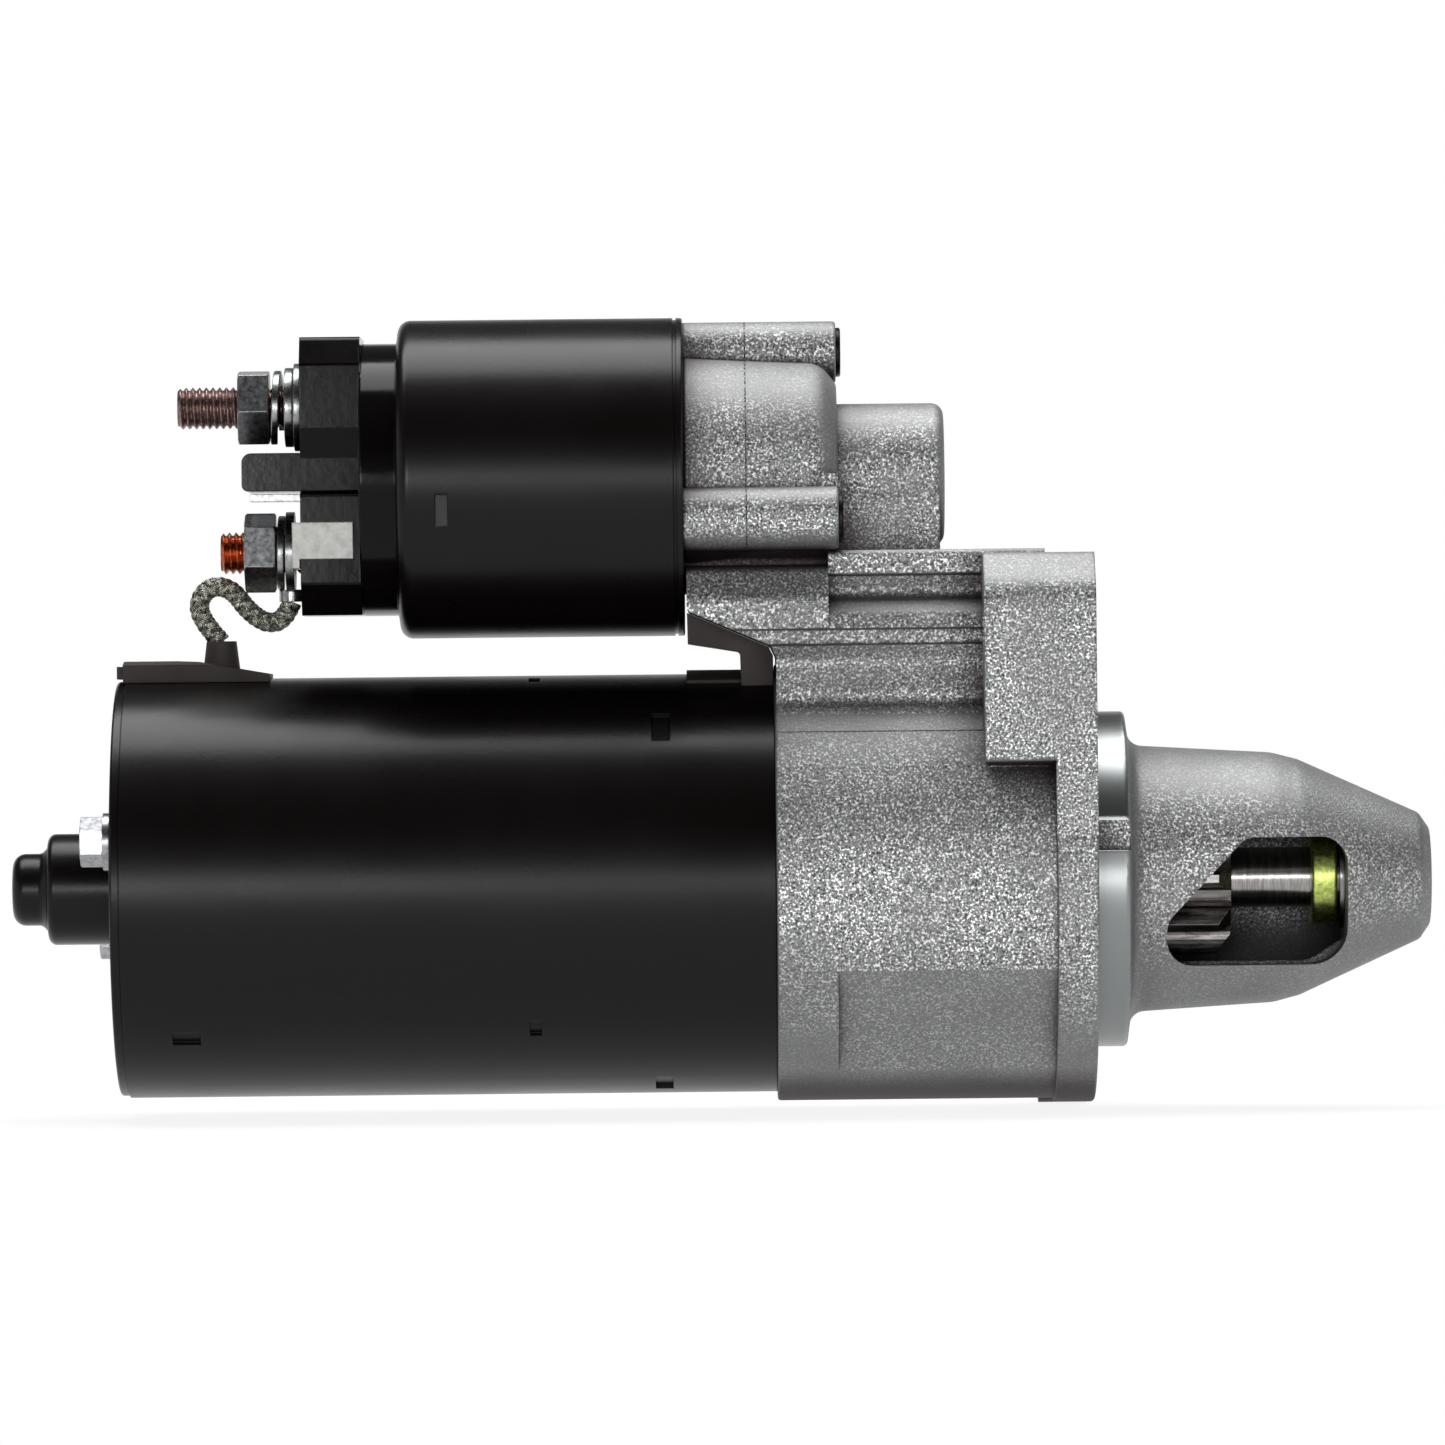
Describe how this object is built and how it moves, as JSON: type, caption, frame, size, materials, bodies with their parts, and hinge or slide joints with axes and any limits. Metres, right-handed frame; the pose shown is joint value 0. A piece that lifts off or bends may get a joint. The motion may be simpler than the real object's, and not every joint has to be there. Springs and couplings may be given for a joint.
{
  "type": "starter motor",
  "caption": "Engine starter motor: black motor tube and solenoid on a cast drive-end housing, with a sliding pinion in the nose window, studs, braided lead and mounting flange.",
  "frame": {"origin": "on the motor's axis, in the mounting face of the flange", "axes": "+X along the motor's axis towards the nose, +Z from the motor to the solenoid"},
  "size_m": [0.2641, 0.0909, 0.1483],
  "materials": {
    "cast_aluminium": "sand-textured die casting",
    "black_steel": "satin black paint",
    "zinc_steel": "bright zinc plate",
    "black_screw": "black phosphate",
    "cap_moulding": "gloss black moulding",
    "inner_moulding": "glass-filled nylon",
    "lever_moulding": "moulded nylon",
    "rubber": "matte rubber",
    "copper_thread": "bare copper",
    "tinned_braid": "tinned copper braid",
    "tinned_strap": "bright tin plate",
    "gear_steel": "hardened and ground steel",
    "bare_steel": "turned steel",
    "yellow_zinc": "yellow zinc plate",
    "sintered_bronze": "sintered bronze",
    "lamination_steel": "stacked sheet steel",
    "winding_enamel": "enamelled copper wire",
    "magnet_ferrite": "ground ferrite",
    "brush_carbon": "copper graphite",
    "spring_steel": "drawn spring wire"
  },
  "bodies": {
    "housing": {"drive_end_housing": "cast_aluminium", "yoke": "black_steel", "rear_cover": "black_steel", "end_cap": "black_steel", "through_bolts": "zinc_steel", "magnets": "magnet_ferrite", "shield_plate": "inner_moulding", "rear_bush": "sintered_bronze", "brush_springs": "spring_steel", "brush_holders": "bare_steel", "brush_plate": "inner_moulding", "ring_gear": "inner_moulding", "carrier_washer": "bare_steel", "output_bushes": "sintered_bronze", "nose_washer": "bare_steel", "lever_pin": "bare_steel", "solenoid_can": "black_steel", "solenoid_screws": "black_screw", "coil_bobbin": "inner_moulding", "solenoid_coil": "winding_enamel", "stop_core": "bare_steel", "return_spring": "spring_steel", "contact_spring": "spring_steel", "terminal_cap": "cap_moulding", "battery_stud": "copper_thread", "motor_stud": "copper_thread", "terminal_nuts": "zinc_steel", "terminal_washers": "zinc_steel", "motor_strap": "tinned_strap", "motor_lug": "tinned_strap", "trigger_terminal": "tinned_strap", "motor_lead": "tinned_braid", "lead_grommet": "rubber", "lever_seal": "rubber"},
    "armature": {"armature_shaft": "gear_steel", "shaft_clip": "spring_steel", "armature_core": "lamination_steel", "armature_winding": "winding_enamel", "commutator": "copper_thread"},
    "output_shaft": {"output_shaft": "gear_steel", "planet_pins": "gear_steel", "stop_collar": "yellow_zinc"},
    "planet_1": {"planet_gear_1": "gear_steel"},
    "planet_2": {"planet_gear_2": "gear_steel"},
    "planet_3": {"planet_gear_3": "gear_steel"},
    "drive_ring": {"drive_ring": "inner_moulding"},
    "clutch": {"clutch_shell": "bare_steel", "clutch_cover": "bare_steel", "clutch_rollers": "gear_steel", "drive_sleeve": "bare_steel", "sleeve_clip": "spring_steel"},
    "pinion": {"pinion": "gear_steel"},
    "lever": {"fork_lever": "lever_moulding"},
    "plunger": {"plunger": "bare_steel"},
    "contact": {"contact_rod": "inner_moulding", "contact_plate": "copper_thread"},
    "brush_1": {"brush_1": "brush_carbon"},
    "brush_2": {"brush_2": "brush_carbon"},
    "brush_3": {"brush_3": "brush_carbon"},
    "brush_4": {"brush_4": "brush_carbon"}
  },
  "joints": [
    {"name": "armature_spin", "type": "hinge", "parent": "housing", "child": "armature", "pos_m": [0, 0, 0], "axis": [1, 0, 0], "continuous": true},
    {"name": "output_spin", "type": "hinge", "parent": "housing", "child": "output_shaft", "pos_m": [0, 0, 0], "axis": [1, 0, 0], "continuous": true},
    {"name": "planet_1_spin", "type": "hinge", "parent": "output_shaft", "child": "planet_1", "pos_m": [-0.049, -0.015, 0], "axis": [1, 0, 0], "continuous": true},
    {"name": "planet_2_spin", "type": "hinge", "parent": "output_shaft", "child": "planet_2", "pos_m": [-0.049, 0.0075, 0.01299], "axis": [1, 0, 0], "continuous": true},
    {"name": "planet_3_spin", "type": "hinge", "parent": "output_shaft", "child": "planet_3", "pos_m": [-0.049, 0.0075, -0.01299], "axis": [1, 0, 0], "continuous": true},
    {"name": "plunger_slide", "type": "slide", "parent": "housing", "child": "plunger", "axis": [-1, 0, 0], "range_m": [0, 0.01124], "stiffness_N_per_m": 1200, "springref_m": -0.006, "deforming": ["return_spring", "contact_spring"]},
    {"name": "lever_swing", "type": "hinge", "parent": "housing", "child": "lever", "pos_m": [-0.025, 0, 0.042], "axis": [0, -1, 0], "range_deg": [0, 20.64]},
    {"name": "drive_slide", "type": "slide", "parent": "housing", "child": "drive_ring", "axis": [1, 0, 0], "range_m": [0, 0.0148]},
    {"name": "clutch_spin", "type": "hinge", "parent": "drive_ring", "child": "clutch", "pos_m": [0, 0, 0], "axis": [1, 0, 0], "continuous": true},
    {"name": "pinion_freewheel", "type": "hinge", "parent": "clutch", "child": "pinion", "pos_m": [0, 0, 0], "axis": [1, 0, 0], "continuous": true},
    {"name": "contact_slide", "type": "slide", "parent": "housing", "child": "contact", "axis": [-1, 0, 0], "range_m": [0, 0.0025]},
    {"name": "brush_1_slide", "type": "slide", "parent": "housing", "child": "brush_1", "axis": [0, -0.4726, 0.8813], "range_m": [0, 0.003], "stiffness_N_per_m": 700, "springref_m": -0.003, "deforming": ["brush_springs"]},
    {"name": "brush_2_slide", "type": "slide", "parent": "housing", "child": "brush_2", "axis": [0, 0.8813, 0.4726], "range_m": [0, 0.003], "stiffness_N_per_m": 700, "springref_m": -0.003},
    {"name": "brush_3_slide", "type": "slide", "parent": "housing", "child": "brush_3", "axis": [0, 0.4726, -0.8813], "range_m": [0, 0.003], "stiffness_N_per_m": 700, "springref_m": -0.003},
    {"name": "brush_4_slide", "type": "slide", "parent": "housing", "child": "brush_4", "axis": [0, -0.8813, -0.4726], "range_m": [0, 0.003], "stiffness_N_per_m": 700, "springref_m": -0.003}
  ],
  "couplings": [
    {"joint": "output_spin", "follows": "armature_spin", "ratio": 0.2},
    {"joint": "planet_1_spin", "follows": "armature_spin", "ratio": -0.53333},
    {"joint": "planet_2_spin", "follows": "armature_spin", "ratio": -0.53333},
    {"joint": "planet_3_spin", "follows": "armature_spin", "ratio": -0.53333},
    {"joint": "lever_swing", "follows": "plunger_slide", "rad_per_m": 32.047},
    {"joint": "drive_slide", "follows": "plunger_slide", "ratio": 1.3171},
    {"joint": "contact_slide", "follows": "plunger_slide", "ratio": 0.22247},
    {"joint": "clutch_spin", "follows": "armature_spin", "ratio": 0.2}
  ]
}
